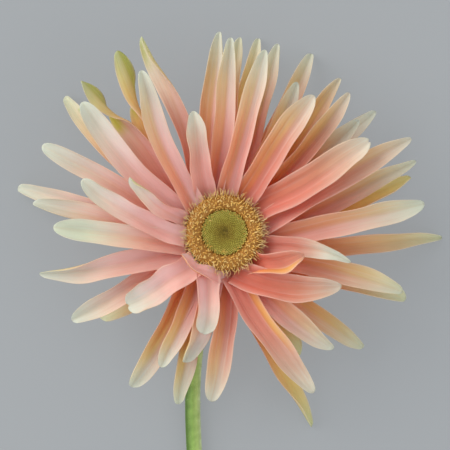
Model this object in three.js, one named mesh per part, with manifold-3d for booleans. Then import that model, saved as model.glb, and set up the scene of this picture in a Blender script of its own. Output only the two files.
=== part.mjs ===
// A cut gerbera of the spider type, lying on its back on a flat surface.
// The green stem lies along -Y. Its neck turns up behind the head, and the head faces up, a little tilted.
// Fifty-four strap-shaped ray petals stand in five whorls round a green cup, the involucre. The cup carries
// a ring of open disc florets and, inside that, a low dome of closed buds.
//
// Millimetres, +Z up. The origin is the middle of the object's bounding box, on the surface it lies on.
// Petals, disc and cup are laid out about the middle of the cup's flat top, the head centre.
import * as THREE from "three";
import Module from "manifold-3d";
import { mergeVertices } from "three/addons/utils/BufferGeometryUtils.js";

// Driving dimensions
const HEAD_HEIGHT = 27; // head centre above the surface
const HEAD_TILT = { right: 5, back: 6 }; // degrees that the head leans towards +X and away from the stem
const CUP_RADIUS = 11.1;
const CUP_DEPTH = 14;
const GAP = 0.3; // between pieces that touch
const PETAL_THICKNESS = 0.8;
const STEM_LENGTH = 296; // from the head centre to the cut end, along -Y
const NECK_RADIUS = 2.2;
const CUT_RADIUS = 3.1;

// The whorls from the lowest to the highest. base is the height of a petal's foot below the head centre.
const WHORLS = [{ base: -6.3 }, { base: -4.9 }, { base: -3.5 }, { base: -2.1 }, { base: -0.7 }];
const FOOT_RADIUS = CUP_RADIUS + 1.3; // where the petals' feet stand, from the head's axis

// One row per petal. Angles are degrees anticlockwise from +X, seen from above.
//   foot, tip: azimuth of the petal's foot and tip
//   reach: the tip's distance from the head centre, seen from above
//   bow:   how far the middle stands to the left of a straight path, seen from the foot
//   whorl: 0 lowest, 4 highest
//   mid, end: height of the middle's control point and of the tip
//   width: across the flattened blade
//   cup:   half angle of the blade's channel
//   roll:  how far the blade leans, left edge up
//   twist: how much further it turns at its tip
const PETALS = [
  // foot   tip  reach  bow whorl mid  end width cup roll twist
  [120, 112.8, 63.5, -2.6, 1, -3, -5, 6.6, 62, 15, 60],
  [136, 116.9, 53.2, 2.0, 4, 6, 8, 7.2, 52, 0, 0],
  [143, 120.3, 63.2, 0.8, 1, -4, -8, 7.8, 68, 55, 95],
  [150, 133.3, 62.0, -2.6, 2, -1, -3, 8.0, 60, 25, 115],
  [156, 137.3, 56.6, 2.2, 3, 4, 5, 8.0, 50, 0, 0],
  [167, 139.6, 57.4, 1.5, 1, -4, -8, 6.6, 60, -50, -20],
  [158, 139.5, 64.5, 1.2, 0, -9, -26.6, 6.0, 55, 15, 0],
  [168, 154.3, 59.8, -0.5, 2, 0, -2, 6.8, 52, 8, 0],
  [162, 149.4, 31.9, 1.2, 4, 8, 9, 5.0, 60, 20, 40],
  [185, 159.4, 44.4, 1.9, 4, 6, 6, 7.0, 52, 5, 0],
  [175, 167.7, 65.0, 0.0, 0, -9, -26.6, 6.4, 58, 0, 0],
  [183, 171.1, 57.4, 0.2, 2, 0, -3, 6.8, 58, -15, 0],
  [195, 178.0, 50.2, 0.0, 3, 4, 3, 7.0, 50, 0, 0],
  [203, 192.5, 56.2, 1.1, 2, 0, -4, 7.2, 56, 10, 30],
  [209, 209.9, 52.6, 0.2, 1, -3, -9, 6.8, 56, 0, 0],
  [213, 214.2, 45.6, 0.0, 0, -9, -16, 7.4, 50, 0, 0],
  [227, 217.0, 36.0, 0.5, 4, 4, -2, 8.0, 46, 0, 0],
  [268, 206.0, 13.7, 1.8, 4, 8, 7, 3.6, 30, -60, 0],
  [246, 258.5, 30.5, 0.8, 4, 4, 1, 7.4, 54, 0, 0],
  [258, 252.9, 40.3, 1.0, 3, 1, -4.5, 7.0, 54, 10, 20],
  [247, 254.9, 53.5, -0.7, 1, -6, -12, 6.8, 56, 10, 0],
  [230, 238.8, 54.0, 1.4, 1, -4, -10, 8.2, 62, 0, 15],
  [239, 244.8, 44.2, 0.6, 2, -1, -5, 6.8, 56, 0, 0],
  [273, 265.5, 50.5, 1.5, 2, 0, -7, 8.0, 56, 0, -10],
  [281, 299.5, 54.2, -1.2, 3, 3, -1, 8.2, 52, 0, -10],
  [288, 294.3, 65.6, -0.8, 0, -9, -26.4, 6.8, 56, 20, 20],
  [291, 302.0, 43.0, -0.5, 1, -3, -7, 6.0, 58, 40, 0],
  [298, 313.5, 47.4, -1.0, 2, 0, -4, 7.8, 56, -10, -10],
  [308, 320.6, 55.0, -0.3, 0, -8, -19, 7.4, 56, -10, -10],
  [290, 336.0, 37.9, -2.8, 4, 5, 2, 8.2, 44, 0, 0],
  [325, 341.8, 56.0, 1.5, 2, 0, -4, 8.0, 54, 0, 10],
  [333, 340.0, 58.3, 0.7, 1, -5, -12, 7.2, 54, 10, 0],
  [314, 345.0, 24.4, -1.0, 4, 6, 6, 5.6, 72, 0, 0],
  [343, 347.0, 38.2, 1.8, 3, 4, 4, 6.4, 46, 0, -20],
  [337, 358.7, 67.2, -0.3, 0, -9, -26.6, 6.6, 60, 0, 0],
  [348, 8.3, 60.0, 0.6, 2, 0, -1, 8.6, 58, -12, 0],
  [354, 16.6, 59.2, -1.4, 0, -8, -18, 6.6, 58, 35, 0],
  [1, 20.5, 61.4, -0.3, 1, -4, -8, 7.4, 60, -15, 15],
  [14, 26.8, 61.5, 0.8, 3, 4, 5, 7.8, 58, -15, 0],
  [37, 32.6, 50.4, -1.0, 4, 7, 9, 9.4, 42, 0, 0],
  [35, 39.9, 52.2, 0.0, 2, 0, -2, 6.8, 54, 10, 0],
  [40, 38.7, 59.0, -0.5, 0, -8, -17, 6.4, 54, 10, 0],
  [43, 48.2, 55.4, -0.8, 3, 3, 2, 6.8, 60, -10, 0],
  [43, 53.0, 57.9, -0.6, 1, -4, -8, 7.2, 66, 10, 0],
  [60, 56.8, 47.9, 0.4, 4, 7, 9, 8.6, 50, 0, 0],
  [62, 63.9, 61.4, -0.5, 0, -9, -26.6, 7.0, 58, 0, 20],
  [60, 64.2, 49.8, -0.3, 2, 0, -3, 6.6, 54, 0, 0],
  [72, 74.1, 58.9, -0.3, 1, -4, -8, 6.8, 68, 15, 0],
  [86, 77.3, 54.7, 0.0, 4, 7, 9, 8.4, 58, 10, 0],
  [84, 80.0, 60.8, 0.0, 0, -9, -26.6, 6.0, 56, 10, 0],
  [94, 85.3, 58.9, 0.0, 1, -4, -10, 6.4, 62, 25, 0],
  [103.5, 88.0, 57.3, -0.7, 3, 5, 5.5, 6.8, 60, 10, 0],
  [113.5, 91.2, 59.8, 0.3, 2, -1, -3, 7.2, 62, 15, 0],
  [115, 104.0, 36.8, 0.4, 4, 5, 6, 7.0, 50, 0, 0],
];

// Sections along a blade: how far along, and the blade's breadth there as a share of its width.
const BLADE = [
  [0, 0.55],
  [0.13, 0.72],
  [0.28, 0.86],
  [0.44, 0.96],
  [0.6, 1],
  [0.75, 0.95],
  [0.87, 0.76],
  [0.95, 0.48],
  [1, 0.2],
];

// The stem's centre line seen from above, from the head centre to the cut end.
// Its height follows from its radius.
const STEM_ROUTE = [
  [-5.6, -20],
  [-8.5, -35],
  [-9.6, -50],
  [-9.1, -68],
  [-6.5, -110],
  [-3.0, -170],
  [-1.0, -235],
  [-2.5, -STEM_LENGTH],
];

const wasm = await Module();
wasm.setup();

const headTurn = new THREE.Quaternion().setFromEuler(
  new THREE.Euler(
    THREE.MathUtils.degToRad(-HEAD_TILT.back),
    THREE.MathUtils.degToRad(HEAD_TILT.right),
    0,
  ),
);
const headAxis = new THREE.Vector3(0, 0, 1).applyQuaternion(headTurn);

const materials = {
  petal: new THREE.MeshStandardMaterial({ color: 0xe89a8a, roughness: 0.55, metalness: 0 }),
  floret: new THREE.MeshStandardMaterial({ color: 0xd9a441, roughness: 0.7, metalness: 0 }),
  bud: new THREE.MeshStandardMaterial({ color: 0x8f9436, roughness: 0.7, metalness: 0 }),
  green: new THREE.MeshStandardMaterial({ color: 0x6f9440, roughness: 0.6, metalness: 0 }),
};

// A closed skin over rings of equal length, each anticlockwise seen from the end that the rings run to.
// Each end is closed by a strip between the two sides of its ring, which also suits a crescent.
function loft(rings) {
  const n = rings[0].length;
  const corners = rings.flat();
  const index = [];
  for (let i = 0; i + 1 < rings.length; i++) {
    for (let j = 0; j < n; j++) {
      const a = i * n + j;
      const b = i * n + ((j + 1) % n);
      index.push(a, b, b + n, a, b + n, a + n);
    }
  }
  const last = (rings.length - 1) * n;
  for (let j = 0; j < n / 2; j++) {
    const [a, b, c, d] = [j, j + 1, n - j - 1, (n - j) % n];
    if (b !== c) index.push(a, c, b, last + a, last + b, last + c);
    if (a !== d) index.push(a, d, c, last + a, last + c, last + d);
  }
  const geometry = new THREE.BufferGeometry().setFromPoints(corners);
  geometry.setIndex(index);
  geometry.computeVertexNormals();
  return geometry;
}

// The crescent section of a blade. It takes the centre, the directions of the left edge and the upper face,
// the breadth and the cup angle.
function bladeRing(centre, left, up, breadth, cup) {
  const radius = breadth / 2 / cup;
  const point = (share, side) => {
    const angle = share * cup;
    const depth = radius * (1 - Math.cos(angle)) + side * Math.cos(angle);
    return centre
      .clone()
      .addScaledVector(left, radius * Math.sin(angle) - side * Math.sin(angle))
      .addScaledVector(up, depth);
  };
  const half = PETAL_THICKNESS / 2;
  return [
    point(1, 0),
    point(0.5, half),
    point(0, half),
    point(-0.5, half),
    point(-1, 0),
    point(-0.5, -half),
    point(0, -half),
    point(0.5, -half),
  ];
}

function polar(azimuth, radius, height) {
  const angle = THREE.MathUtils.degToRad(azimuth);
  return new THREE.Vector3(radius * Math.cos(angle), radius * Math.sin(angle), height);
}

// The middle line of a petal, about the head centre.
function petalPath([foot, tip, reach, bow, whorl, mid, end]) {
  const from = polar(foot, FOOT_RADIUS, WHORLS[whorl].base).applyQuaternion(headTurn);
  const to = polar(tip, reach, end);
  const across = new THREE.Vector3(from.y - to.y, to.x - from.x, 0).normalize();
  const control = from.clone().lerp(to, 0.5).addScaledVector(across, 2 * bow);
  control.z = mid;
  return new THREE.QuadraticBezierCurve3(from, control, to);
}

function petal(row) {
  const [, , , , , , , width, cup, roll, twist] = row;
  const path = petalPath(row);
  const rings = BLADE.map(([along, breadth]) => {
    const forward = path.getTangent(along);
    const left = headAxis.clone().cross(forward).normalize();
    const up = forward.clone().cross(left);
    const lean = roll * THREE.MathUtils.smoothstep(along, 0, 0.6);
    const turn = twist * THREE.MathUtils.smoothstep(along, 0.5, 0.88);
    const spin = new THREE.Quaternion().setFromAxisAngle(
      forward,
      THREE.MathUtils.degToRad(-lean - turn),
    );
    return bladeRing(
      path.getPoint(along),
      left.applyQuaternion(spin),
      up.applyQuaternion(spin),
      width * breadth,
      THREE.MathUtils.degToRad(cup),
    );
  });
  return loft(rings);
}

// The stem: round sections along its route, lying on the surface until the neck turns up into the cup.
function stem() {
  const SIDES = 12;
  const SECTIONS = 40;
  const head = new THREE.Vector3(0, 0, HEAD_HEIGHT);
  const top = head.clone().addScaledVector(headAxis, -CUP_DEPTH - GAP);
  const share = (y) => THREE.MathUtils.clamp(-y / STEM_LENGTH, 0, 1);
  const radiusAt = (y) => THREE.MathUtils.lerp(NECK_RADIUS, CUT_RADIUS, share(y));
  const neck = [top, top.clone().addScaledVector(headAxis, -3.5), new THREE.Vector3(-1.6, -7.5, 4.4)];
  const route = STEM_ROUTE.map(([x, y]) => new THREE.Vector3(x, y, radiusAt(y)));
  const path = new THREE.CatmullRomCurve3([...neck, ...route], false, "centripetal");
  const rings = [];
  for (let i = 0; i <= SECTIONS; i++) {
    const along = (i / SECTIONS) ** 1.5; // closer together in the neck, where it bends
    const centre = path.getPointAt(along);
    const forward = i === 0 ? headAxis.clone().negate() : path.getTangentAt(along);
    const right = new THREE.Vector3(1, 0, 0).addScaledVector(forward, -forward.x).normalize();
    const up = forward.clone().cross(right);
    const radius = radiusAt(centre.y);
    centre.z = Math.max(centre.z, radius);
    const ring = [];
    for (let j = 0; j < SIDES; j++) {
      const angle = (2 * Math.PI * j) / SIDES;
      const point = centre.clone().addScaledVector(right, radius * Math.cos(angle));
      ring.push(point.addScaledVector(up, radius * Math.sin(angle)));
    }
    rings.push(ring);
  }
  return loft(rings);
}

function toSolid(geometry) {
  const plain = geometry.clone();
  plain.deleteAttribute("normal");
  plain.deleteAttribute("uv");
  const merged = mergeVertices(plain, 1e-4);
  return new wasm.Manifold(
    new wasm.Mesh({
      numProp: 3,
      vertProperties: merged.attributes.position.array,
      triVerts: new Uint32Array(merged.index.array),
    }),
  );
}

function fromSolid(solid) {
  const mesh = solid.getMesh();
  const geometry = new THREE.BufferGeometry();
  geometry.setAttribute("position", new THREE.BufferAttribute(mesh.vertProperties, 3));
  geometry.setIndex(new THREE.BufferAttribute(mesh.triVerts, 1));
  geometry.computeVertexNormals();
  return geometry;
}

// A solid of revolution about the head's axis, from its outline in radius and height.
function lathe(outline, sides) {
  const points = outline.map(([radius, height]) => new THREE.Vector2(radius, height));
  return new THREE.LatheGeometry(points, sides).rotateX(Math.PI / 2);
}

// The involucre: a green cup, with two rows of pointed bracts that lie against it.
function involucre() {
  const SIDES = 32;
  const cup = lathe(
    [
      [0, -CUP_DEPTH],
      [3.4, -CUP_DEPTH],
      [6.2, -12.9],
      [9.0, -10.6],
      [10.7, -8],
      [CUP_RADIUS, -6],
      [CUP_RADIUS, 0],
      [0, 0],
    ],
    SIDES,
  );
  const ROWS = [
    { count: 14, turn: 0, line: [[5.0, -13.1], [9.0, -10.9], [11.6, -7.9]], width: 3.6 },
    { count: 14, turn: 0.5, line: [[4.0, -13.7], [7.0, -13.1], [10.2, -10.4]], width: 3.2 },
  ];
  const SHARES = [0.55, 1, 0.2]; // of the bract's width at its foot, middle and point
  let solid = toSolid(cup);
  for (const row of ROWS) {
    for (let i = 0; i < row.count; i++) {
      const azimuth = (360 * (i + row.turn)) / row.count;
      const rings = row.line.map(([radius, height], k) => {
        const half = (row.width * SHARES[k]) / 2;
        const out = polar(azimuth, 1, 0);
        const side = new THREE.Vector3(-out.y, out.x, 0);
        const at = (across, depth) =>
          out
            .clone()
            .multiplyScalar(radius + 0.7 * depth)
            .addScaledVector(side, across * half)
            .setZ(height - 0.7 * depth);
        return [at(1, 0), at(0, -0.5), at(-1, 0), at(0, 0.5)];
      });
      solid = solid.add(toSolid(loft(rings)));
    }
  }
  return fromSolid(solid);
}

// The ring of open florets round the disc, and the dome of closed buds inside it.
const discFlorets = () =>
  lathe(
    [
      [6.7, GAP],
      [10.6, GAP],
      [11.9, 3.0],
      [11.2, 4.8],
      [9.4, 5.2],
      [7.6, 4.2],
      [6.7, 2.6],
      [6.7, GAP],
    ],
    28,
  );
const discBuds = () =>
  lathe(
    [
      [0, GAP],
      [6.3, GAP],
      [6.3, 1.8],
      [4.6, 2.7],
      [2.6, 2.8],
      [1.0, 2.3],
      [0, 2.1],
    ],
    28,
  );

function piece(name, geometry, material) {
  const mesh = new THREE.Mesh(geometry, material);
  mesh.name = name;
  return mesh;
}

const upright = new THREE.Group(); // pieces that turn about the head's axis
upright.quaternion.copy(headTurn);
upright.add(piece("involucre", involucre(), materials.green));
upright.add(piece("disc_florets", discFlorets(), materials.floret));
upright.add(piece("disc_buds", discBuds(), materials.bud));

const head = new THREE.Group();
head.position.z = HEAD_HEIGHT;
head.add(upright);
PETALS.forEach((row, i) => {
  const name = `petal_${String(i + 1).padStart(2, "0")}`;
  head.add(piece(name, petal(row), materials.petal));
});

const flower = new THREE.Group();
flower.add(head, piece("stem", stem(), materials.green));

// The whole is moved so that the origin is under the middle of its bounding box.
flower.updateMatrixWorld(true);
const box = new THREE.Box3().setFromObject(flower, true);
const middle = box.getCenter(new THREE.Vector3());
flower.position.set(-middle.x, -middle.y, -box.min.z);

const gerbera = new THREE.Group();
gerbera.add(flower);
export default gerbera;
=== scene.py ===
import math
import random

import bpy
import numpy as np
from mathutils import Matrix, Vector


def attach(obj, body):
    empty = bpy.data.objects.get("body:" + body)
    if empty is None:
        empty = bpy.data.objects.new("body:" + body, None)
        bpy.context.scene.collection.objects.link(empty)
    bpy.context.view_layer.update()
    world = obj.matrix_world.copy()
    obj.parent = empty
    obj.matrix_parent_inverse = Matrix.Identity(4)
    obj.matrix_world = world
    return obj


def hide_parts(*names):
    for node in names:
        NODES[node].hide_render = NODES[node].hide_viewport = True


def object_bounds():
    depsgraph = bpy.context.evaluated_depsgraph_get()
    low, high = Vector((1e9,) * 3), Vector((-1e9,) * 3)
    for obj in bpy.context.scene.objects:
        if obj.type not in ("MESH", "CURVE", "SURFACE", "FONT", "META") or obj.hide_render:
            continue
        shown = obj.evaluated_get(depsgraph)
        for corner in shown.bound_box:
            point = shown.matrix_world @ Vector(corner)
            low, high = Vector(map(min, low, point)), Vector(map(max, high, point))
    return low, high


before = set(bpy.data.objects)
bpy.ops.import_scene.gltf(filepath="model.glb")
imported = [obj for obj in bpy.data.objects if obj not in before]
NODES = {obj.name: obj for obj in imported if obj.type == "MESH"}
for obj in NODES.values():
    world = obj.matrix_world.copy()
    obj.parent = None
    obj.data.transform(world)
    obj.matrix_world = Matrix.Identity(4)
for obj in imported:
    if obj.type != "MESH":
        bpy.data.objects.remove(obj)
CAD_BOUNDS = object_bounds()
MM = 0.001
GAP = 0.3  # mm between neighbouring CAD solids
AXIS_RADIUS = 0.001  # mm, the least radius of a ring about the head's axis
GOLDEN_ANGLE = math.pi * (3 - math.sqrt(5))


# ---------------------------------------------------------------- reading the CAD solids


def solid_of(node):
    """Unique vertices and triangles of a CAD node."""
    mesh = NODES[node].data
    lookup, points, index = {}, [], []
    for vertex in mesh.vertices:
        key = tuple(round(c * 5e5) for c in vertex.co)
        if key not in lookup:
            lookup[key] = len(points)
            points.append(vertex.co[:])
        index.append(lookup[key])
    faces = [tuple(index[i] for i in polygon.vertices) for polygon in mesh.polygons]
    return np.array(points), [f for f in faces if len(set(f)) == 3]


def neighbours(count, faces):
    """The vertices that share a face with each vertex."""
    near = [set() for _ in range(count)]
    for face in faces:
        for a in face:
            near[a].update(face)
    return [n - {i} for i, n in enumerate(near)]


def levels_from(start, near):
    """Sets of vertices at one, two, three... edges from the start."""
    levels, seen = [set(start)], set(start)
    while levels[-1]:
        step = set().union(*(near[i] for i in levels[-1])) - seen
        seen |= step
        levels.append(step)
    return levels[:-1]


def flat_groups(points, faces):
    """Groups of neighbouring triangles that lie in one plane."""
    corners = points[np.array(faces)]
    normals = np.cross(corners[:, 1] - corners[:, 0], corners[:, 2] - corners[:, 0])
    normals /= np.linalg.norm(normals, axis=1)[:, None] + 1e-20
    by_edge = {}
    for i, (a, b, c) in enumerate(faces):
        for edge in ((a, b), (b, c), (c, a)):
            by_edge.setdefault(frozenset(edge), []).append(i)
    group = list(range(len(faces)))

    def root(i):
        while group[i] != i:
            i = group[i]
        return i

    for pair in by_edge.values():
        if len(pair) == 2 and normals[pair[0]] @ normals[pair[1]] > 0.9998:
            group[root(pair[0])] = root(pair[1])
    sets = {}
    for i in range(len(faces)):
        sets.setdefault(root(i), []).append(faces[i])
    return list(sets.values())


def cycle(members, edges):
    """The members in order round their ring."""
    near = {m: [] for m in members}
    for a, b in edges:
        near[a].append(b)
        near[b].append(a)
    order = [min(members)]
    while len(order) < len(members):
        order.append(next(n for n in near[order[-1]] if n not in order))
    return order


def rings_of(node, sides):
    """The rings of a lofted CAD node, each in order, from the end nearest the head: [ring, side, xyz]."""
    points, faces = solid_of(node)
    near = neighbours(len(points), faces)
    ends = []
    for cap in flat_groups(points, faces):
        members = set().union(*cap)
        if len(members) == sides:
            levels = levels_from(members, near)
            if all(len(level) == sides for level in levels):
                edges = [frozenset(e) for f in cap for e in (f[:2], f[1:], (f[2], f[0]))]
                rim = [tuple(e) for e in edges if edges.count(e) == 1]
                distance = np.linalg.norm(points[list(members)].mean(axis=0) - HEAD)
                ends.append((distance, levels, rim))
    ends.sort(key=lambda end: end[0])
    levels, last_rim = ends[0][1], ends[-1][2]
    rings = [points[cycle(levels[0], ends[0][2])]]
    for i, level in enumerate(levels[1:], 1):
        inner = [(a, b) for a in level for b in near[a] if b in level and a < b]
        order = cycle(level, last_rim if i == len(levels) - 1 else inner)
        ring = points[order]
        before = rings[-1] - rings[-1].mean(axis=0)
        turns = [np.roll(way, shift, axis=0) for way in (ring, ring[::-1]) for shift in range(sides)]
        rings.append(min(turns, key=lambda o: np.sum((o - o.mean(axis=0) - before) ** 2)))
    return np.array(rings)


def unit(v):
    return v / (np.linalg.norm(v, axis=-1, keepdims=True) + 1e-20)


def head_frame():
    """Centre of the receptacle's top and the axes of the head: right, back and up."""
    points, _ = solid_of("disc_florets")
    middle = points.mean(axis=0)
    up = np.linalg.svd(points - middle)[2][2]
    up = up if up[2] > 0 else -up
    lowest = ((points - middle) @ up).min()
    right = unit(np.array([1.0, 0, 0]) - up * up[0])
    return middle + up * (lowest - GAP * MM), np.array([right, np.cross(up, right), up])


HEAD, HEAD_AXES = head_frame()


def on_head(radius, azimuth, height):
    """A point on the head, in mm and radians about its axis."""
    local = np.array([radius * math.cos(azimuth), radius * math.sin(azimuth), height])
    return HEAD + MM * local @ HEAD_AXES


def head_ring(radius, height, sides):
    """A level ring of points about the head's axis, its sizes in mm."""
    angles = np.linspace(0, 2 * math.pi, sides, endpoint=False)
    return np.array([on_head(max(radius, AXIS_RADIUS), a, height) for a in angles])


def hoop(centre, first, second, size, angles):
    """A ring of points round a centre, in the plane of two directions."""
    return np.array([centre + size * (first * math.cos(a) + second * math.sin(a)) for a in angles])


# ---------------------------------------------------------------- meshes and splines


def spline(knots, values, at):
    """Smooth curve through values at increasing knots, read at the given places.

    The values may have any shape after their first axis.
    """
    knots, values, at = np.asarray(knots), np.asarray(values, float), np.asarray(at)
    steps = np.diff(knots)
    slopes = np.diff(values, axis=0) / steps.reshape(-1, *[1] * (values.ndim - 1))
    tangents = np.empty_like(values)
    share = (steps[:-1] / (steps[:-1] + steps[1:])).reshape(-1, *[1] * (values.ndim - 1))
    tangents[1:-1] = slopes[:-1] * (1 - share) + slopes[1:] * share
    tangents[0] = 1.5 * slopes[0] - 0.5 * tangents[1]
    tangents[-1] = 1.5 * slopes[-1] - 0.5 * tangents[-2]
    i = np.clip(np.searchsorted(knots, at, side="right") - 1, 0, len(steps) - 1)
    shape = (-1, *[1] * (values.ndim - 1))
    h = steps[i].reshape(shape)
    u = ((at - knots[i]) / steps[i]).reshape(shape)
    inside = (
        values[i] * (2 * u**3 - 3 * u**2 + 1)
        + tangents[i] * h * (u**3 - 2 * u**2 + u)
        + values[i + 1] * (3 * u**2 - 2 * u**3)
        + tangents[i + 1] * h * (u**3 - u**2)
    )
    before = values[i] + tangents[i] * h * u
    return np.where(u < 0, before, inside)


def make_piece(name, points, faces, material, attributes):
    """A smooth-shaded object with a value for each attribute at each point."""
    mesh = bpy.data.meshes.new(name)
    mesh.from_pydata([tuple(p) for p in points], [], faces)
    mesh.update()
    mesh.polygons.foreach_set("use_smooth", [True] * len(mesh.polygons))
    for key, values in attributes.items():
        layer = mesh.attributes.new(key, "FLOAT", "POINT")
        layer.data.foreach_set("value", np.asarray(values, np.float32))
    mesh.materials.append(material)
    piece = bpy.data.objects.new(name, mesh)
    bpy.context.scene.collection.objects.link(piece)
    return piece


class Builder:
    """Gathers many small closed shapes into one mesh."""

    def __init__(self):
        self.points, self.faces, self.values = [], [], []

    def tube(self, rings, value):
        """A closed tube over rings of points, with a point at each end. All its points get the value."""
        sides = len(rings[0])
        start = len(self.points)
        self.points.append(rings[0].mean(axis=0))
        for ring in rings:
            self.points.extend(ring)
        self.points.append(rings[-1].mean(axis=0))
        end = len(self.points) - 1
        self.values.extend([value] * (end - start + 1))
        for j in range(sides):
            k = (j + 1) % sides
            self.faces.append((start, start + 1 + k, start + 1 + j))
            for i in range(len(rings) - 1):
                a = start + 1 + i * sides
                self.faces.append((a + j, a + k, a + sides + k, a + sides + j))
            a = start + 1 + (len(rings) - 1) * sides
            self.faces.append((a + j, a + k, end))


# ---------------------------------------------------------------- materials


def linear(red, green, blue):
    """A colour from 0 to 255, as the renderer wants it."""
    parts = [c / 255 for c in (red, green, blue)]
    return (*[c / 12.92 if c <= 0.04045 else ((c + 0.055) / 1.055) ** 2.4 for c in parts], 1.0)


class Nodes:
    """A short way to write a node material."""

    def __init__(self, name):
        self.material = bpy.data.materials.new(name)
        self.material.use_nodes = True
        self.tree = self.material.node_tree
        self.tree.nodes.clear()

    def add(self, kind, inputs=None, **settings):
        node = self.tree.nodes.new(kind)
        for key, value in settings.items():
            setattr(node, key, value)
        for key, value in (inputs or {}).items():
            if isinstance(value, bpy.types.NodeSocket):
                self.tree.links.new(value, node.inputs[key])
            else:
                node.inputs[key].default_value = value
        return node

    def attribute(self, name):
        return self.add("ShaderNodeAttribute", attribute_name=name).outputs["Fac"]

    def math(self, operation, a, b=0.0, clamp=False):
        return self.add("ShaderNodeMath", {0: a, 1: b}, operation=operation, use_clamp=clamp).outputs[0]

    def ramp(self, factor, stops):
        node = self.add("ShaderNodeValToRGB", {"Fac": factor})
        elements = node.color_ramp.elements
        elements[0].position, elements[0].color = stops[0]
        elements[1].position, elements[1].color = stops[-1]
        for position, colour in stops[1:-1]:
            elements.new(position).color = colour
        return node.outputs["Color"]

    def mix(self, factor, a, b, blend="MIX"):
        node = self.add("ShaderNodeMix", {0: factor}, data_type="RGBA", blend_type=blend)
        for socket, value in ((node.inputs[6], a), (node.inputs[7], b)):
            if isinstance(value, bpy.types.NodeSocket):
                self.tree.links.new(value, socket)
            else:
                socket.default_value = value
        return node.outputs[2]

    def vector(self, x, y, z):
        return self.add("ShaderNodeCombineXYZ", {"X": x, "Y": y, "Z": z}).outputs[0]

    def noise(self, vector, scale, detail=2.0):
        node = self.add("ShaderNodeTexNoise", {"Vector": vector, "Scale": scale, "Detail": detail})
        return node.outputs["Fac"]

    def bump(self, height, distance, strength):
        inputs = {"Height": height, "Distance": distance, "Strength": strength}
        return self.add("ShaderNodeBump", inputs).outputs["Normal"]

    def finish(self, shader):
        self.add("ShaderNodeOutputMaterial", {"Surface": shader})
        return self.material


PALE = [  # along a lightly coloured petal, from foot to tip; its lower half is kept as light as its middle, partly its own pink and partly painted light against the shade between petals near the disc
    (0.0, linear(252, 220, 212)),
    (0.2, linear(250, 217, 209)),
    (0.42, linear(247, 219, 211)),
    (0.62, linear(246, 233, 226)),
    (0.8, linear(238, 239, 231)),
    (1.0, linear(230, 235, 222)),
]
DEEP = [  # along a strongly coloured one
    (0.0, linear(218, 124, 102)),
    (0.22, linear(217, 134, 110)),
    (0.5, linear(216, 152, 128)),
    (0.72, linear(230, 196, 176)),
    (0.88, linear(238, 231, 215)),
    (1.0, linear(236, 236, 220)),
]
YELLOW = [  # along one whose upper face is yellow
    (0.0, linear(242, 150, 80)),
    (0.3, linear(246, 190, 98)),
    (0.6, linear(246, 218, 124)),
    (0.85, linear(238, 226, 148)),
    (1.0, linear(224, 226, 152)),
]
UNDER = [  # along the underside
    (0.0, linear(236, 136, 72)),
    (0.35, linear(240, 172, 98)),
    (0.66, linear(238, 200, 124)),
    (0.85, linear(226, 214, 140)),
    (1.0, linear(216, 218, 142)),
]
GLOW = [  # what light takes on as it passes through a petal
    (0.0, linear(252, 150, 96)),
    (0.4, linear(250, 164, 102)),
    (0.7, linear(238, 206, 156)),
    (1.0, linear(228, 234, 222)),
]
LIME = linear(196, 196, 66)
CREAM_MARGIN = linear(247, 230, 210)
PALE_LINE = linear(247, 226, 212)
PAINTED_CHANNEL_SHADE = (0.88, 0.74, 0.64, 1.0)  # painted shade: darkens the colour along the middle of the channel
LINE_PLACE = 0.4  # where the pale lines run, from the middle of the blade to its margin
VEIN_RELIEF = 0.00012  # m
GRAIN_RELIEF = 0.00006  # m
THROUGH = 0.45  # how much of a petal's shading is light that passes through it


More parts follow.
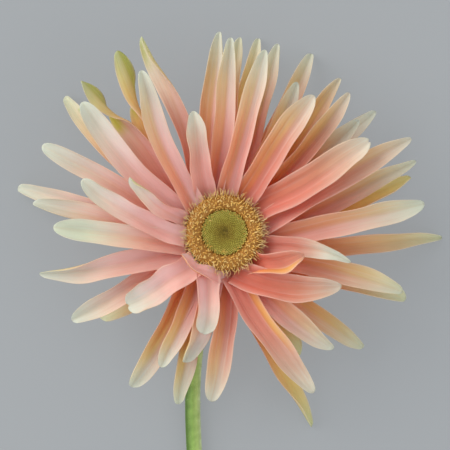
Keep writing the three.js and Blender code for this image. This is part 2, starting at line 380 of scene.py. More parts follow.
def petal_material():
    """Coral to cream along the blade, streaked and veined, with painted shade along its channel, and lit
    through from behind.
    """
    n = Nodes("petal")
    along, across = n.attribute("along"), n.attribute("across")
    seed = n.attribute("seed")
    off_middle = n.math("ABSOLUTE", across)

    def pattern(across_scale, along_scale, detail):
        """Noise that lies along the blade, and differs from petal to petal."""
        x = n.math("MULTIPLY", across, across_scale)
        y = n.math("MULTIPLY", along, along_scale)
        return n.noise(n.vector(x, y, seed), 1.0, detail)

    streaks = pattern(9.0, 2.2, 3.0)
    veins = pattern(34.0, 3.0, 2.0)
    cells = pattern(60.0, 420.0, 1.0)
    blotch = pattern(1.4, 5.0, 2.0)

    # the colours along the blade, with their borders drawn out by the streaks
    wander = n.math("MULTIPLY", n.math("SUBTRACT", streaks, 0.5), 0.22)
    reached = n.math("MULTIPLY", along, n.attribute("reach"))
    place = n.math("ADD", reached, wander, clamp=True)
    upper = n.mix(n.attribute("tone"), n.ramp(place, PALE), n.ramp(place, DEEP))
    upper = n.mix(n.attribute("yellow"), upper, n.ramp(place, YELLOW))
    colour = n.mix(n.attribute("face"), n.ramp(place, UNDER), upper)
    colour = n.mix(n.attribute("lime"), colour, LIME)

    # a cream margin, two broken pale lines, and painted shade darkening the middle of the channel between
    # them
    margin = n.math("POWER", off_middle, 7.0)
    colour = n.mix(n.math("MULTIPLY", margin, 0.65), colour, CREAM_MARGIN)
    off_line = n.math("ABSOLUTE", n.math("SUBTRACT", off_middle, LINE_PLACE))
    line = n.math("SUBTRACT", 1.0, n.math("MULTIPLY", off_line, 11.0), clamp=True)
    breaks = n.math("SUBTRACT", n.math("MULTIPLY", streaks, 2.4), 0.8, clamp=True)
    line = n.math("MULTIPLY", line, breaks)
    colour = n.mix(n.math("MULTIPLY", line, 0.55), colour, PALE_LINE)
    # painted shade along the middle of the channel, where the cupped blade holds shade
    painted_channel_shade = n.math("SUBTRACT", 1.0, n.math("MULTIPLY", off_middle, 4.0), clamp=True)
    colour = n.mix(n.math("MULTIPLY", painted_channel_shade, 0.45), colour, PAINTED_CHANNEL_SHADE, "MULTIPLY")

    # dark veins and broad blotches
    vein_dark = n.ramp(veins, [(0.3, (0.86, 0.82, 0.80, 1)), (0.62, (1, 1, 1, 1))])
    colour = n.mix(0.4, colour, vein_dark, "MULTIPLY")
    shade = n.ramp(blotch, [(0.25, (0.9, 0.88, 0.87, 1)), (0.75, (1.05, 1.04, 1.03, 1))])
    colour = n.mix(0.8, colour, shade, "MULTIPLY")

    height = n.math("ADD", n.math("MULTIPLY", veins, 0.7), n.math("MULTIPLY", cells, 0.3))
    normal = n.bump(height, VEIN_RELIEF, 0.55)
    glow = n.ramp(place, GLOW)
    skin = n.add(
        "ShaderNodeBsdfPrincipled",
        {
            "Base Color": colour,
            "Roughness": 0.52,
            "Specular IOR Level": 0.35,
            "Sheen Weight": 0.12,
            "Sheen Roughness": 0.4,
            "Normal": normal,
        },
    ).outputs[0]
    through = n.add("ShaderNodeBsdfTranslucent", {"Color": glow, "Normal": normal}).outputs[0]
    both = n.add("ShaderNodeMixShader", {0: THROUGH, 1: skin, 2: through}).outputs[0]
    return n.finish(both)


def speckled_material(name, stops, roughness, grain, through=0.0):
    """A finish whose colour runs with the mesh's shade value, with a fine grain over it.

    through is how much of its shading is light that passes through it.
    """
    n = Nodes(name)
    place = n.add("ShaderNodeTexCoord").outputs["Object"]
    fine = n.noise(place, grain, 3.0)
    wander = n.math("MULTIPLY", n.math("SUBTRACT", fine, 0.5), 0.3)
    where = n.math("ADD", n.attribute("shade"), wander, clamp=True)
    colour = n.ramp(where, stops)
    tint = n.ramp(fine, [(0.3, (0.82, 0.82, 0.8, 1)), (0.7, (1.08, 1.08, 1.05, 1))])
    colour = n.mix(0.7, colour, tint, "MULTIPLY")
    skin = n.add(
        "ShaderNodeBsdfPrincipled",
        {
            "Base Color": colour,
            "Roughness": roughness,
            "Specular IOR Level": 0.3,
            "Normal": n.bump(fine, GRAIN_RELIEF, 0.6),
        },
    ).outputs[0]
    if through:
        back = n.add("ShaderNodeBsdfTranslucent", {"Color": colour}).outputs[0]
        skin = n.add("ShaderNodeMixShader", {0: through, 1: skin, 2: back}).outputs[0]
    return n.finish(skin)


# ---------------------------------------------------------------- petals

DEFAULT_LOOK = {
    "tone": 0.5,  # 0 pale pink to 1 deep coral; petals on the side away from the lamp are set deeper, partly their own colour and partly painted shade
    "yellow": 0.0,  # how far the upper face is yellow
    "late": 0.0,  # how much later the petal turns cream
    "wing": 0.12,  # how much yellower and deeper its left (+) or right (-) side is: painted shade on the side turned from the lamp
    "wing_from": 0.0,  # where that side starts, from the middle of the blade to its margin
    "wing_end": 0.98,  # where it ends, from foot to tip
    "lime": 0.0,  # how green the end of its left (+) or right (-) side is
    "lime_start": 0.58,  # where that green starts, from foot to tip
    "broad": 1.0,  # breadth against the CAD petal
    "taper": 0.3,  # share of the blade over which it narrows to its tip
    "blunt": 0.38,  # breadth that is left at the tip
    "notch": 0.0,  # depth of the tip's notch in mm
    "crease": 0.72,  # 1 for a round channel, less for a sharper one
    "hood": 0.25,  # how much deeper the channel gets at the tip
    "ridges": 2,  # how many ridges run along the blade
    "wave": 0.18,  # height in mm of the ripples at the margin
}
# each petal's look, where it differs from the default
LOOKS = {
    1: {"tone": 0.45, "lime": 0.8, "lime_start": 0.78, "ridges": 1, "crease": 0.5},
    2: {"tone": 0.12, "blunt": 0.5, "wing": 0.5, "crease": 0.5},
    3: {"tone": 0.25, "lime": 1.6, "yellow": 0.75, "blunt": 0.45, "hood": -1.0, "ridges": 1},
    4: {"tone": 0.4, "lime": 1.6, "taper": 0.26, "blunt": 0.5, "hood": -1.0, "ridges": 1},
    5: {"tone": 0.05, "blunt": 0.5},
    6: {"tone": 0.1, "lime": -1.6, "lime_start": 0.5, "yellow": 0.55},
    7: {"tone": 0.5, "yellow": 0.3},
    8: {"tone": 0.1, "blunt": 0.5},
    9: {"tone": 0.05, "ridges": 1, "wave": 0.4},
    10: {"tone": 0.0, "blunt": 0.5},
    11: {"tone": 0.25},
    12: {"tone": 0.25},
    13: {"tone": 0.0, "yellow": 0.15, "broad": 1.12, "late": -0.3},
    14: {"tone": 0.1, "taper": 0.5, "blunt": 0.2, "wave": 0.5, "broad": 1.12},
    15: {"tone": 0.3, "wave": 0.4, "broad": 1.12},
    16: {"tone": 0.1, "yellow": 0.5, "broad": 1.3},
    17: {"tone": 0.05, "taper": 0.14, "blunt": 0.7, "notch": 0.7, "wave": 0.4, "broad": 1.12},
    18: {"tone": 0.15, "ridges": 1, "wave": 0.1, "late": 0.45, "broad": 1.3, "wing": 0.0},
    19: {"tone": 0.05, "taper": 0.2, "blunt": 0.55, "notch": 0.3},
    20: {"tone": 0.05, "blunt": 0.5, "wing": -0.3},
    21: {"tone": 0.15, "yellow": 0.15, "wing": -0.7},
    22: {"tone": 0.6, "ridges": 3, "wing": -0.7},
    23: {"tone": 0.5, "wing": -0.7},
    24: {"tone": 0.8, "ridges": 3, "wing": -0.4, "late": 0.05},
    25: {
        "tone": 0.85, "taper": 0.38, "blunt": 0.28, "ridges": 3, "late": 0.05,
        "wing": 1.0, "wing_from": 0.5, "wing_end": 0.7,
    },
    26: {"tone": 0.5, "yellow": 0.85, "taper": 0.4, "blunt": 0.22, "broad": 1.1},
    27: {"tone": 0.1, "yellow": 0.7, "broad": 1.3},
    28: {"tone": 0.6, "taper": 0.38, "blunt": 0.24, "ridges": 3, "wing": 0.3},
    29: {"tone": 0.6, "yellow": 0.3, "taper": 0.38, "blunt": 0.22, "wing": 0.4},
    30: {"tone": 1.0, "taper": 0.5, "blunt": 0.2, "ridges": 3, "late": 0.12, "broad": 1.1, "wing": 0.0},
    31: {
        "tone": 0.65, "yellow": 0.15, "taper": 0.36, "blunt": 0.3,
        "lime": 0.35, "lime_start": 0.5, "wing": 0.3,
    },
    32: {"tone": 0.1, "yellow": 0.45, "blunt": 0.34, "lime": 0.15, "broad": 1.25},
    33: {
        "tone": 1.0, "ridges": 3, "broad": 1.4, "hood": -0.3, "taper": 0.6, "blunt": 0.16,
        "late": 0.4, "wing": -1.0, "wing_from": 0.45,
    },
    34: {"tone": 0.8, "taper": 0.7, "blunt": 0.12, "wing": 0.0, "late": -0.25},
    35: {"tone": 0.4, "yellow": 0.5, "taper": 0.4, "blunt": 0.18, "wing": 0.1},
    36: {"tone": 0.4, "yellow": 0.05, "taper": 0.3, "blunt": 0.36, "wing": 0.4, "late": -0.04},
    37: {"tone": 0.3, "yellow": 1.0, "taper": 0.4, "blunt": 0.2, "late": 0.12, "broad": 1.3},
    38: {"tone": 0.45, "yellow": 0.1, "taper": 0.4, "blunt": 0.2, "wing": 0.35, "broad": 0.95},
    39: {"tone": 0.7, "taper": 0.36, "blunt": 0.24, "late": 0.08, "wing": 0.4, "broad": 1.05},
    40: {"tone": 0.95, "taper": 0.3, "blunt": 0.42, "notch": 0.6, "ridges": 3, "late": 0.08, "wing": 0.1},
    41: {"tone": 0.4, "blunt": 0.26, "wing": 0.3},
    42: {"tone": 0.25, "blunt": 0.26, "wing": 0.2},
    43: {"tone": 0.9, "blunt": 0.26, "late": 0.1, "wing": 0.65, "crease": 0.5},
    44: {"tone": 0.95, "yellow": 0.1, "ridges": 3, "blunt": 0.26, "late": 0.1, "wing": 0.65, "crease": 0.5},
    45: {"tone": 0.85, "ridges": 3, "late": 0.1, "wing": 0.5},
    46: {"tone": 0.7, "blunt": 0.26, "wing": 0.65, "crease": 0.5},
    47: {"tone": 0.4, "blunt": 0.26, "wing": 0.65, "crease": 0.5},
    48: {"tone": 0.6, "blunt": 0.26, "wing": 0.65, "crease": 0.5},
    49: {"tone": 0.5, "blunt": 0.4, "ridges": 3, "wing": 0.5, "crease": 0.5, "broad": 0.84},
    50: {"tone": 0.8, "yellow": 0.2, "blunt": 0.26, "wing": 0.65, "crease": 0.5},
    51: {"tone": 1.0, "yellow": 0.2, "blunt": 0.26, "wing": 0.65, "crease": 0.5},
    52: {"tone": 0.45, "ridges": 1, "wing": 0.5, "crease": 0.5},
    53: {"tone": 0.4, "ridges": 1, "blunt": 0.26, "wing": 0.5, "crease": 0.5},
    54: {"tone": 0.45, "crease": 0.5},
}
ALONG_STEPS = 72
ACROSS_STEPS = 26
PETAL_SKIN = 0.42  # mm thick along the middle
RIDGE_HEIGHT = 0.2  # mm
LINE_HEIGHT = 0.04  # mm, of the fine lines between the ridges
SWAY = 0.25  # mm that a blade wanders sideways
HEAVE = 0.35  # mm that a blade wanders up and down
LIME_EDGE = 0.25  # where a green side starts, from the middle of the blade to its margin
FOOT_START = -0.035  # where the blade starts, as a share of its length before the CAD foot
DIRECTION_STEP = 0.004  # share of the length over which a direction is taken
FIRST_SEED = 1000  # petals take their random draws from this one on
PATTERN_STEP = 3.7  # how far apart the petals' patterns lie


def rails_of(node):
    """A petal's CAD node, station by station from foot to tip.

    It gives the distance along the petal, the middle line, the way left, the breadth between the margins,
    and the step from the middle line to the middle of the margins.
    """
    rings = rings_of(node, 8)
    first = rings[0]
    spans = [np.linalg.norm(first[i] - first[(i + 4) % 8]) for i in range(4)]
    rings = np.roll(rings, -int(np.argmax(spans)), axis=1)
    up = HEAD_AXES[2]
    if (rings[0, 1:4].mean(axis=0) - rings[0, 5:8].mean(axis=0)) @ up < 0:
        rings = np.roll(rings[:, ::-1], 1, axis=1)
    forward = rings[1].mean(axis=0) - rings[0].mean(axis=0)
    if (rings[0, 0] - rings[0, 4]) @ np.cross(up, forward) < 0:
        rings = np.roll(rings[:, ::-1], 5, axis=1)
    middle = (rings[:, 2] + rings[:, 6]) / 2
    left = (rings[:, 1] + rings[:, 7] - rings[:, 3] - rings[:, 5]) / 2
    margins = np.linalg.norm(rings[:, 0] - rings[:, 4], axis=1)
    arc = np.concatenate([[0], np.cumsum(np.linalg.norm(np.diff(middle, axis=0), axis=1))])
    edge = (rings[:, 0] + rings[:, 4]) / 2 - middle
    return arc, middle, left, margins, edge


# Below, v runs across a blade from its right margin, -1, to its left one, 1, and s runs along it from the
# CAD foot, 0, to the CAD tip, 1. phase holds a petal's eight random phases, which its waves share.


def blade_grid(look, half, length, skew):
    """Places across and along a blade whose far end follows its rounded, perhaps notched tip."""
    v = np.linspace(-1, 1, ACROSS_STEPS + 1)
    tip = min(2.1 * look["blunt"] * half / length, 0.3)
    rounding = tip * (1 - np.sqrt(np.clip(1 - np.abs(v) ** 2.2, 0, 1)))
    notch = look["notch"] * MM / length
    teeth = notch * np.exp(-(((v - skew) / 0.16) ** 2))
    ends = 1 - rounding - teeth - 0.002
    grid = np.linspace(0, 1, ALONG_STEPS + 1)
    grid = grid + 0.1 * np.sin(2 * math.pi * grid) / (2 * math.pi)
    s = FOOT_START + (ends[None, :] - FOOT_START) * grid[:, None]
    return v, grid, s


def blade_frames(share, middle, left, s):
    """Centre of the blade, and the directions across and up, at each place."""
    flat = s.ravel()

    def read(values, places):
        return spline(share, values, places).reshape(*s.shape, 3)

    centre = read(middle, flat)
    forward = unit(read(middle, flat + DIRECTION_STEP) - read(middle, flat - DIRECTION_STEP))
    across = read(left / np.linalg.norm(left, axis=1)[:, None], flat)
    across = unit(across - forward * np.sum(across * forward, axis=-1, keepdims=True))
    return centre, across, np.cross(forward, across)


def blade_section(look, half, cup, phase, v, s):
    """How far each place stands sideways and up from the middle line, and the section's slope there."""
    knots, breadths = [0, 0.12, 0.26, 0.42, 0.6, 1.0], [0.92, 0.98, 1.0, 1.0, 1.0, 1.0]
    body = spline(knots, breadths, s.ravel()).reshape(s.shape)
    narrowing = np.clip((s - 1 + look["taper"]) / look["taper"], 0, 1)
    ripple = 0.025 * np.sin(s * 9 + phase[0]) + 0.02 * np.sin(s * 19 + phase[1])
    width = half * look["broad"] * body * (1 - (1 - look["blunt"]) * narrowing**2.4) * (1 + ripple)
    gather = np.clip(1 - s / 0.3, 0, 1)
    fold = 1 - 0.3 * gather + look["hood"] * narrowing + 0.1 * np.sin(s * 7 + phase[2])
    slope = cup * fold * np.sign(v)[None, :] * np.abs(v[None, :]) ** look["crease"]
    slope = slope + 0.12 * np.sin(phase[3]) * (1 - v[None, :] ** 2)
    step = np.diff(v)[None, :]
    middle_column = ACROSS_STEPS // 2

    def running(values):
        """Integral across the blade, zero at its middle line."""
        sums = np.cumsum((values[:, 1:] + values[:, :-1]) / 2 * step, axis=1)
        total = np.concatenate([np.zeros((len(values), 1)), sums], axis=1)
        return total - total[:, middle_column : middle_column + 1]

    return width * running(np.cos(slope)), width * running(np.sin(slope)), slope


def blade_relief(look, phase, v, s, fade):
    """Height of the ridges, the fine lines and the waved margin."""
    count = look["ridges"]
    ridge = np.cos(v * math.pi * count + (0 if count % 2 else math.pi) + 0.5 * np.sin(phase[6]))
    ridges = RIDGE_HEIGHT * MM * ridge[None, :] * fade * (1 - np.abs(v[None, :]) ** 4) * (1 - 0.5 * s)
    lines = LINE_HEIGHT * MM * np.cos(v * math.pi * 9 + phase[3])[None, :] * np.clip(s * 5, 0, 1)
    wave = np.sin(s * (13 + 4 * math.sin(phase[4])) + phase[7] + 1.4 * np.sign(v)[None, :])
    return ridges + lines + look["wave"] * MM * wave * np.abs(v[None, :]) ** 2.5 * fade


def sheet_faces(rows, cols):
    """Faces of a closed sheet: a grid of points on top, the same below, and a rim between them."""

    def at(i, j, side):
        return side * rows * cols + i * cols + j

    faces = []
    for i in range(rows - 1):
        for j in range(cols - 1):
            faces.append((at(i, j, 0), at(i + 1, j, 0), at(i + 1, j + 1, 0), at(i, j + 1, 0)))
            faces.append((at(i, j, 1), at(i, j + 1, 1), at(i + 1, j + 1, 1), at(i + 1, j, 1)))
    rim = [(i, 0) for i in range(rows)]
    rim += [(rows - 1, j) for j in range(1, cols)]
    rim += [(i, cols - 1) for i in range(rows - 2, -1, -1)]
    rim += [(0, j) for j in range(cols - 2, 0, -1)]
    for (i, j), (k, m) in zip(rim, rim[1:] + rim[:1]):
        faces.append((at(i, j, 0), at(i, j, 1), at(k, m, 1), at(k, m, 0)))
    return faces


def petal_values(number, look, v, s):
    """What the petal's material reads at each point of the top and then of the underside."""
    flat = s.ravel()
    flat_v = np.broadcast_to(v[None, :], s.shape).ravel()
    # painted shade: the side of the blade turned from the lamp is made yellower and deeper
    wing = np.clip(0.5 + 3 * (flat_v * np.sign(look["wing"]) - look["wing_from"]), 0, 1)
    wing = abs(look["wing"]) * wing * np.clip((look["wing_end"] - flat) / 0.25, 0, 1)
    side = np.clip(0.5 + 1.2 * (v[None, :] * look["lime"] - LIME_EDGE), 0, 1)
    lime = abs(look["lime"]) * side * np.clip((s - look["lime_start"]) / 0.12, 0, 1)
    return {
        "along": np.tile(np.clip(flat, 0, 1), 2),
        "across": np.tile(flat_v, 2),
        "face": np.concatenate([np.ones(s.size), np.zeros(s.size)]),
        "reach": np.full(2 * s.size, 1 - look["late"]),
        # tone and yellow carry that painted shade of the side turned from the lamp
        "tone": np.tile(np.clip(look["tone"] + 0.4 * wing, 0, 1), 2),
        "yellow": np.tile(np.clip(look["yellow"] + wing, 0, 1), 2),
        "lime": np.tile(lime.ravel(), 2),
        "seed": np.full(2 * s.size, number * PATTERN_STEP),
    }


def petal(number, material):
    """A ray petal, rebuilt as a fine closed blade from its CAD node's middle line and section."""
    node = f"petal_{number:02d}"
    look = {**DEFAULT_LOOK, **LOOKS[number]}
    rng = random.Random(FIRST_SEED + number)
    arc, middle, left, margins, edge = rails_of(node)
    length = arc[-1]
    widest = int(np.argmax(margins))
    chord = margins[widest] / 2
    cup = 2 * math.atan2(np.linalg.norm(edge[widest]), chord)
    half = chord / np.mean(np.cos(cup * np.linspace(0, 1, ACROSS_STEPS) ** look["crease"]))

    v, grid, s = blade_grid(look, half, length, rng.uniform(-0.25, 0.25))
    phase = [rng.uniform(0, 2 * math.pi) for _ in range(8)]
    centre, across, up = blade_frames(arc / length, middle, left, s)
    sideways, rise, slope = blade_section(look, half, cup, phase, v, s)
    fade = np.clip(s * 8, 0, 1) * np.clip((1 - s) * 6, 0, 1)
    sway = SWAY * MM * fade * np.sin(s * (5 + 3 * math.sin(phase[1])) + phase[4])
    heave = HEAVE * MM * fade * np.sin(s * 10 + phase[5])
    mid = centre + across * (sideways + sway)[..., None] + up * (rise + heave)[..., None]
    normal = up * np.cos(slope)[..., None] - across * np.sin(slope)[..., None]
    mid = mid + normal * blade_relief(look, phase, v, s, fade)[..., None]

    thin = (1 - 0.72 * np.abs(v[None, :]) ** 5) * (1 - 0.7 * grid[:, None] ** 14)
    skin = 0.5 * PETAL_SKIN * MM * thin
    top = mid + normal * skin[..., None]
    bottom = mid - normal * skin[..., None]
    points = np.concatenate([top.reshape(-1, 3), bottom.reshape(-1, 3)])
    values = petal_values(number, look, v, s)
    piece = make_piece(f"ray_{number:02d}", points, sheet_faces(*s.shape), material, values)
    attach(piece, "root")
    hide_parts(node)


# ---------------------------------------------------------------- disc


def horn(builder, base, lean, length, width, curl, spin, value):
    """One disc floret: a narrow tube that opens, bends over and comes to a point."""
    steps, sides = 6, 6
    forward = unit(lean)
    side = unit(np.cross(forward, np.array([math.cos(spin), math.sin(spin), 0.3])))
    angles = np.linspace(0, 2 * math.pi, sides, endpoint=False)
    rings = []
    position = np.array(base)
    for i in range(steps + 1):
        t = i / steps
        size = width * (0.55 + 0.6 * math.sin(math.pi * min(t * 0.9 + 0.1, 1)) - 0.35 * t)
        out = np.cross(side, forward)
        rings.append(hoop(position, side, 0.7 * out, size * MM, angles))
        bend = curl * t / steps * 1.7
        forward = unit(forward * math.cos(bend) + out * math.sin(bend))
        position = position + forward * length * MM / steps
    builder.tube(rings, value)


def floret_bed(builder):
    """The domed ring that the open florets stand on."""
    sides = 64
    outline = [
        # radius and height in mm
        (6.5, 0.3),
        (6.6, 1.4),
        (7.6, 2.6),
        (9.2, 3.1),
        (10.6, 2.4),
        (11.3, 1.2),
        (10.9, 0.3),
    ]
    for radius, height in outline:
        builder.points.extend(head_ring(radius, height, sides))
        builder.values.extend([0.0] * sides)
    for i in range(len(outline)):
        for j in range(sides):
            a, c = i * sides, (i + 1) % len(outline) * sides
            k = (j + 1) % sides
            builder.faces.append((a + j, a + k, c + k, c + j))


def disc_florets(material):
    """The ring of open florets: golden inner rows, and paler outer ones that reach outwards."""
    rng = random.Random(7)
    builder = Builder()
    floret_bed(builder)
    rows = [
        # radius, count, base height, lean outwards, length, width, shade
        (6.4, 50, 1.4, -0.5, 1.7, 0.20, 0.5),
        (7.2, 58, 1.7, -0.1, 1.7, 0.21, 0.55),
        (7.8, 62, 2.1, 0.0, 1.9, 0.22, 0.6),
        (8.4, 68, 2.4, 0.1, 1.9, 0.22, 0.64),
        (9.0, 72, 2.5, 0.25, 2.0, 0.22, 0.66),
        (9.6, 78, 2.5, 0.4, 2.0, 0.20, 0.7),
        (10.2, 84, 2.2, 0.6, 2.1, 0.18, 0.76),
        (10.8, 96, 1.8, 0.9, 2.3, 0.15, 0.84),
        (11.2, 120, 1.2, 1.4, 2.6, 0.11, 0.9),
    ]
    for index, (radius, count, height, lean, length, width, shade) in enumerate(rows):
        for i in range(count):
            azimuth = 2 * math.pi * (i + rng.uniform(-0.3, 0.3)) / count + index
            r = radius + rng.uniform(-0.35, 0.35)
            base = on_head(r, azimuth, height)
            out = (on_head(r + 1, azimuth, height) - base) / MM
            sideways = (on_head(r, azimuth + 0.1, height) - base) / MM / (r * 0.1)
            direction = HEAD_AXES[2] + out * (lean + rng.uniform(-0.3, 0.3))
            direction = direction + sideways * rng.uniform(-0.45, 0.45)
            horn(
                builder,
                base,
                direction,
                length=length * rng.uniform(0.65, 1.15),
                width=width * rng.uniform(0.8, 1.2),
                curl=rng.uniform(0.4, 1.6),
                spin=rng.uniform(0, 2 * math.pi),
                value=shade + rng.uniform(-0.2, 0.15),
            )
    piece = make_piece("open_florets", builder.points, builder.faces, material, {"shade": builder.values})
    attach(piece, "root")
    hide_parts("disc_florets")


def bud_height(radius):
    """Height of the bed of buds in mm, with its low dimple in the middle."""
    swell = 0.55 * math.sin(min(radius / 6.4, 1) * math.pi)
    dimple = 0.75 * math.exp(-((radius / 1.1) ** 2))
    return 1.75 + swell - dimple


def disc_buds(material):
    """Closed buds packed in spirals, on a low bed."""
    rng = random.Random(11)
    builder = Builder()
    count, sides, bed_sides = 560, 7, 48
    outer = 6.6  # mm
    bed = [(0.0, GAP), (outer + 0.1, GAP), (outer + 0.1, bud_height(outer) - 0.35)]
    bed += [(r, bud_height(r) - 0.3) for r in (5.5, 4.5, 3.5, 2.5, 1.6, 0.8)]
    builder.tube([head_ring(radius, height, bed_sides) for radius, height in bed], 0.25)
    right, back, _ = HEAD_AXES
    angles = np.linspace(0, 2 * math.pi, sides, endpoint=False)
    spacing = outer * math.sqrt(math.pi / count)
    for i in range(count):
        radius = outer * math.sqrt((i + 0.5) / count)
        azimuth = i * GOLDEN_ANGLE
        size = spacing * (0.5 + 0.08 * radius / outer) * rng.uniform(0.92, 1.08)
        tall = (0.35 + 0.4 * (radius / outer) ** 2) * rng.uniform(0.85, 1.15)
        low = bud_height(radius) - 0.4
        rings = []
        for share, rise in ((0.9, 0.0), (1.0, 0.35), (0.86, 0.7), (0.5, 0.93), (0.16, 1.0)):
            centre = on_head(radius * (1 + 0.012 * rise), azimuth, low + (tall + 0.3) * rise)
            rings.append(hoop(centre, right, back, size * share * MM, angles))
        builder.tube(rings, 0.08 + 0.8 * (radius / outer) ** 0.9 + rng.uniform(-0.1, 0.1))
    piece = make_piece("closed_buds", builder.points, builder.faces, material, {"shade": builder.values})
    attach(piece, "root")
    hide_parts("disc_buds")


# ---------------------------------------------------------------- involucre and stem


def bract(azimuth, line, width):
    """Rings of one thin pointed bract that lies against the cup, its sizes in mm."""
    steps, sides = 8, 8
    rings = []
    for k, (radius, height) in enumerate(spline([0, 0.5, 1], line, np.linspace(0, 1, steps + 1))):
        t = k / steps
        half = max(0.5 * width * (0.6 + 0.9 * t - 1.45 * t**2.2), 0.06)
        lift = 0.12 + 0.2 * t
        ring = []
        for a in np.linspace(0, 2 * math.pi, sides, endpoint=False):
            sideways = half * math.cos(a)
            depth = 0.16 * math.sin(a) - 0.1 * (sideways / max(half, 0.1)) ** 2
            off = (lift + depth) * 0.7
            ring.append(on_head(radius + off, azimuth + sideways / radius, height - off))
        rings.append(np.array(ring))
    return rings


def involucre(material):
    """The cup behind the head, clad in overlapping pointed bracts."""
    rng = random.Random(23)
    builder = Builder()
    outline = [
        # radius and height in mm
        (0.0, -14),
        (3.2, -14.0),
        (6.0, -13.0),
        (8.7, -10.8),
        (10.4, -8.2),
        (10.9, -6),
        (11.05, -2),
        (10.9, 0),
        (6.0, 0.1),
        (0, 0.1),
    ]
    builder.tube([head_ring(radius, height, 64) for radius, height in outline], 0.3)
    rows = [
        # count, turn, foot, middle and point as radius and height, width
        (18, 0.0, [(7.6, -11.9), (10.2, -9.6), (11.5, -6.6)], 3.0),
        (18, 0.5, [(6.0, -13.0), (9.2, -11.3), (11.4, -8.4)], 2.8),
        (16, 0.25, [(4.2, -13.7), (7.2, -13.1), (10.0, -10.9)], 2.5),
        (12, 0.7, [(3.0, -14.0), (5.0, -14.1), (7.4, -13.3)], 2.1),
    ]
    for count, turn, line, width in rows:
        for i in range(count):
            azimuth = 2 * math.pi * (i + turn + rng.uniform(-0.12, 0.12)) / count
            rings = bract(azimuth, np.array(line) * rng.uniform(0.985, 1.01), width)
            builder.tube(rings, 0.45 + 0.25 * rng.random())
    piece = make_piece("bracts", builder.points, builder.faces, material, {"shade": builder.values})
    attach(piece, "root")
    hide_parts("involucre")


def stem(material):
    """The ribbed, finely hairy stem, with its cut end."""
    rng = random.Random(31)
    rings = rings_of("stem", 12)
    centres = rings.mean(axis=1)
    radii = np.linalg.norm(rings - centres[:, None], axis=2).mean(axis=1)
    arc = np.concatenate([[0], np.cumsum(np.linalg.norm(np.diff(centres, axis=0), axis=1))])
    share = arc / arc[-1]
    steps, sides = 300, 48
    t = np.linspace(0, 1, steps + 1) ** 1.25
    line = spline(share, centres, t)
    radius = spline(share, radii, t)
    forward = unit(np.gradient(line, axis=0))
    right = unit(np.array([1.0, 0, 0]) - forward * forward[:, :1])
    up = np.cross(right, forward)
    angles = np.linspace(0, 2 * math.pi, sides, endpoint=False)
    cosine, sine = np.cos(angles)[:, None], np.sin(angles)[:, None]
    builder = Builder()
    tube = []
    for i in range(steps + 1):
        ribs = 1 - 0.03 + 0.03 * np.cos(angles * 9 + 2.0 * math.sin(t[i] * 5))
        swell = 1 + 0.012 * math.sin(t[i] * 40) + 0.01 * math.sin(t[i] * 90 + 1)
        size = radius[i] * np.minimum(ribs * swell, 0.99)
        tube.append(line[i] + size[:, None] * (right[i] * cosine + up[i] * sine))
    tube[0] = tube[0] + HEAD_AXES[2] * 0.6 * MM
    builder.tube(tube, 0.5)
    # painted light and shade: the stem is paler along its right side and darkest along its left
    painted_side_light = 0.4 + 0.42 * np.cos(angles) - 0.25 * np.exp(-(((angles - math.pi) / 0.7) ** 2))
    builder.values = [0.4, *np.tile(painted_side_light, steps + 1), 0.6]
    hairs = 1700
    lowest_root = 0.6  # mm above the surface
    for _ in range(hairs):
        i = rng.randrange(2, steps)
        a = rng.uniform(0, 2 * math.pi)
        out = right[i] * math.cos(a) + up[i] * math.sin(a)
        root = line[i] + out * radius[i] * 0.95
        if root[2] < lowest_root * MM:
            continue
        direction = unit(out + forward[i] * rng.uniform(-0.4, 0.9))
        length = rng.uniform(0.35, 0.8) * MM
        across = unit(np.cross(direction, forward[i]))
        other = np.cross(direction, across)
        hair = []
        for k, thick in ((0.0, 0.022), (0.6, 0.014), (1.0, 0.004)):
            centre = root + direction * length * k + forward[i] * length * 0.25 * k * k
            hair.append(hoop(centre, across, other, thick * MM, (0, 2.1, 4.2)))
        builder.tube(hair, 0.95)
    piece = make_piece("flower_stalk", builder.points, builder.faces, material, {"shade": builder.values})
    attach(piece, "root")
    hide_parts("stem")


# ---------------------------------------------------------------- the flower

petal_skin = petal_material()
for number in LOOKS:
    petal(number, petal_skin)
disc_florets(
    speckled_material(
        "floret",
        [
            (0.0, linear(176, 122, 52)),
            (0.35, linear(220, 164, 74)),
            (0.6, linear(238, 194, 104)),
            (0.8, linear(242, 212, 140)),
            (1.0, linear(242, 216, 160)),
        ],
        roughness=0.6,
        grain=900.0,
        through=0.15,
    )
)
disc_buds(
    speckled_material(
        "bud",
        [
            (0.0, linear(84, 68, 24)),
            (0.3, linear(152, 128, 46)),
            (0.6, linear(172, 158, 64)),
            (1.0, linear(202, 190, 98)),
        ],
        roughness=0.6,
        grain=1400.0,
    )
)
green = speckled_material(
    "green",
    [
        (0.0, linear(84, 112, 44)),
        (0.35, linear(128, 158, 74)),
        (0.65, linear(166, 188, 106)),
        (1.0, linear(214, 222, 180)),
    ],
    roughness=0.5,
    grain=420.0,
    through=0.08,
)
involucre(green)
stem(green)


# ---------------------------------------------------------------- floor, light and camera


FLOOR_SIZE = 6  # m
FLOOR_GLOW = 0.25
LAMP_TINT = (1.0, 0.98, 0.95)
SKY_COLOUR = (0.80, 0.86, 0.95, 1)
SKY_STRENGTH = 0.94
LENS = 162.7  # mm
CAMERA_HEIGHT = 0.6  # m above the head
CAMERA_ASIDE = (0.3, 2.36)  # mm right and back of the head, to frame it


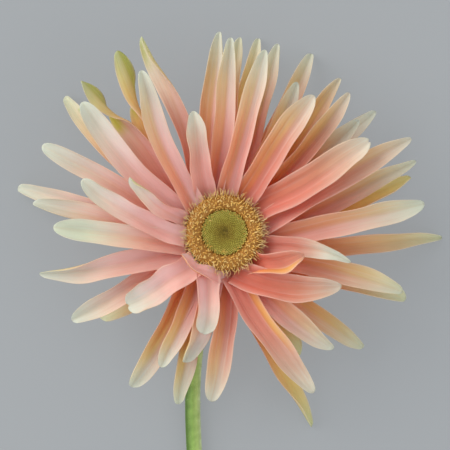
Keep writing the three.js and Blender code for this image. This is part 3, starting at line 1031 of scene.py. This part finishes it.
def floor():
    """A plain pale floor that glows faintly."""
    n = Nodes("floor")
    place = n.add("ShaderNodeTexCoord").outputs["Object"]
    tone = n.ramp(n.noise(place, 3.0), [(0.3, linear(92, 94, 94)), (0.7, linear(96, 98, 98))])
    surface = n.add(
        "ShaderNodeBsdfPrincipled",
        {
            "Base Color": tone,
            "Roughness": 0.9,
            "Emission Color": linear(246, 251, 255),
            "Emission Strength": FLOOR_GLOW,
        },
    ).outputs[0]
    bpy.ops.mesh.primitive_plane_add(size=FLOOR_SIZE, location=(0, 0, CAD_BOUNDS[0][2]))
    plane = bpy.context.object
    plane.name = "floor"
    plane.data.materials.append(n.finish(surface))


def lights():
    """A bluish sky, a large soft lamp at the back left and a weak one at the front right."""
    world = bpy.data.worlds.new("studio")
    bpy.context.scene.world = world
    world.use_nodes = True
    world.node_tree.nodes["Background"].inputs["Color"].default_value = SKY_COLOUR
    world.node_tree.nodes["Background"].inputs["Strength"].default_value = SKY_STRENGTH
    head = Vector(HEAD)
    lamps = [
        # place from the head in m, size in m, power in W
        ((-1.5, 0.8, 1.05), 1.9, 42.0),
        ((0.9, -0.55, 0.6), 0.9, 3.0),
    ]
    for i, (offset, size, power) in enumerate(lamps):
        lamp = bpy.data.lights.new(f"lamp_{i}", "AREA")
        lamp.size, lamp.energy, lamp.color = size, power, LAMP_TINT
        holder = bpy.data.objects.new(f"lamp_{i}", lamp)
        bpy.context.scene.collection.objects.link(holder)
        holder.location = head + Vector(offset)
        holder.rotation_euler = (head - holder.location).to_track_quat("-Z", "Y").to_euler()


def overhead_camera():
    """A camera that looks straight down on the head."""
    camera = bpy.data.cameras.new("camera")
    camera.lens = LENS
    camera.clip_start, camera.clip_end = 0.01, 10
    eye = bpy.data.objects.new("camera", camera)
    bpy.context.scene.collection.objects.link(eye)
    aside, back = CAMERA_ASIDE
    eye.location = Vector(HEAD) + Vector((aside * MM, back * MM, CAMERA_HEIGHT))
    eye.rotation_euler = (0, 0, 0)
    bpy.context.scene.camera = eye


bpy.context.scene.view_settings.view_transform = "Standard"
floor()
lights()
overhead_camera()
